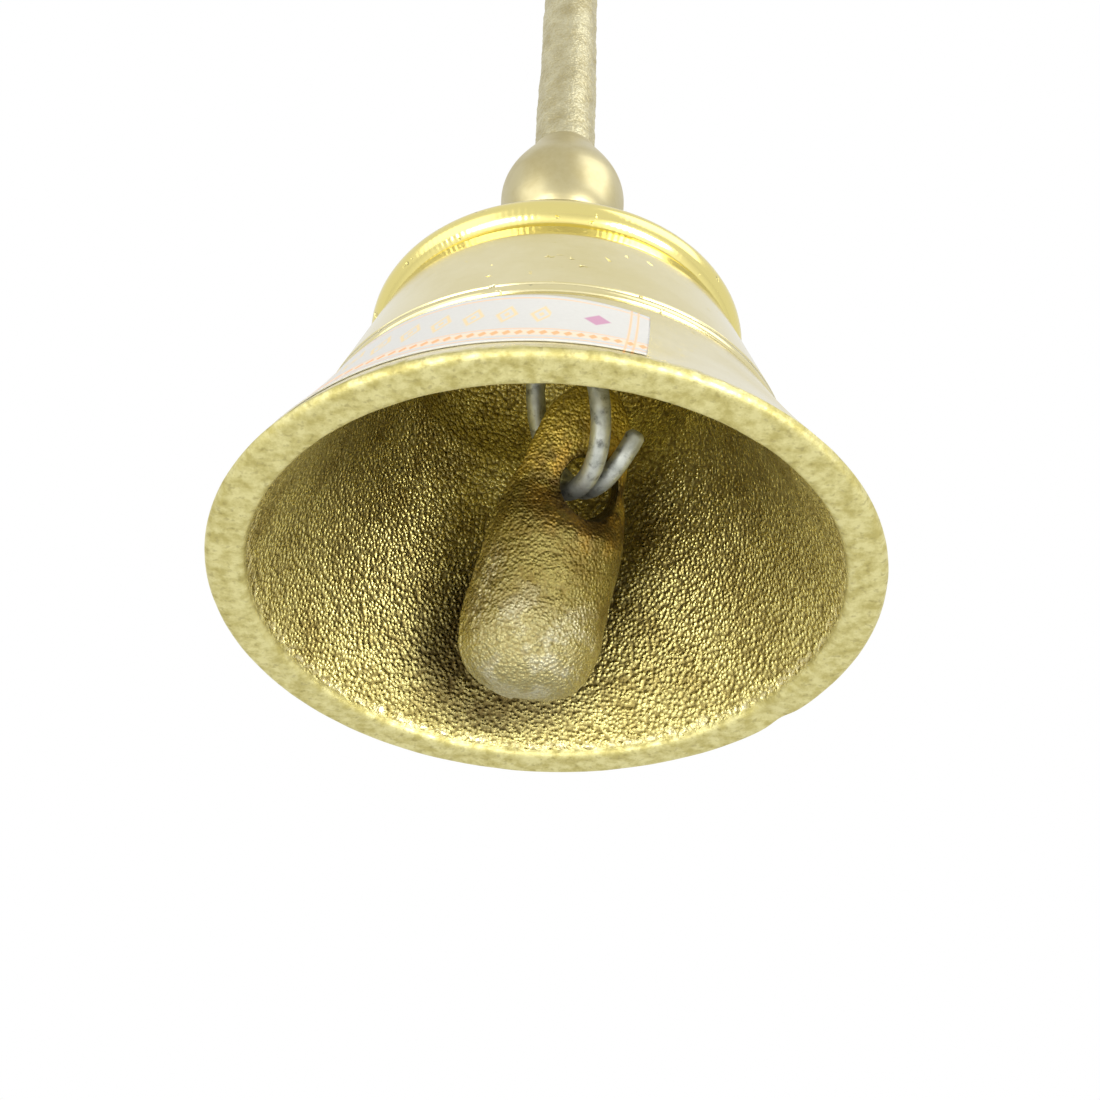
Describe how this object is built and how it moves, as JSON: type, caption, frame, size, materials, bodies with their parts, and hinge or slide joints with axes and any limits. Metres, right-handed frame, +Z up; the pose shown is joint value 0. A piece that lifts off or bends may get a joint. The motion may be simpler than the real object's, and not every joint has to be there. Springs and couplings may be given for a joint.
{
  "type": "puja hand bell",
  "caption": "Turned brass hand bell with a flared mouth, grooved flare, beaded shoulder, screwed-on stem handle and a cast clapper hung from the crown on a wire ring.",
  "frame": {"origin": "on the bell's axis, in the plane of the lip that it stands on", "axes": "+Z up along the bell's axis towards the handle's bud; the clapper leans towards +Y at rest; the label is on the -Y side"},
  "size_m": [0.066, 0.066, 0.1362],
  "materials": {
    "bell_brass": "turned and polished outside, as cast inside",
    "collar_brass": "turned and polished",
    "stem_brass": "rough sand cast",
    "clapper_brass": "rough cast, tarnished",
    "zinc_wire": "galvanised, dull",
    "bolt_steel": "plain",
    "label_paper": "matt, printed"
  },
  "bodies": {
    "bell": {"bell_body": "bell_brass", "handle_collar": "collar_brass", "handle": "stem_brass", "eye_bolt": "bolt_steel", "crown_nut": "bolt_steel", "crown_washer": "bolt_steel", "paper_label": "label_paper"},
    "ring": {"wire_ring": "zinc_wire"},
    "tongue": {"clapper": "clapper_brass"}
  },
  "joints": [
    {"name": "ring_swing", "type": "hinge", "parent": "bell", "child": "ring", "pos_m": [0, 0, 0.0361], "axis": [1, 0, 0], "range_deg": [-62, 0]},
    {"name": "clapper_sway", "type": "hinge", "parent": "ring", "child": "tongue", "pos_m": [0.00384, 0.00888, 0.02188], "axis": [0, 0.848, 0.5299], "range_deg": [-13, 5]}
  ]
}
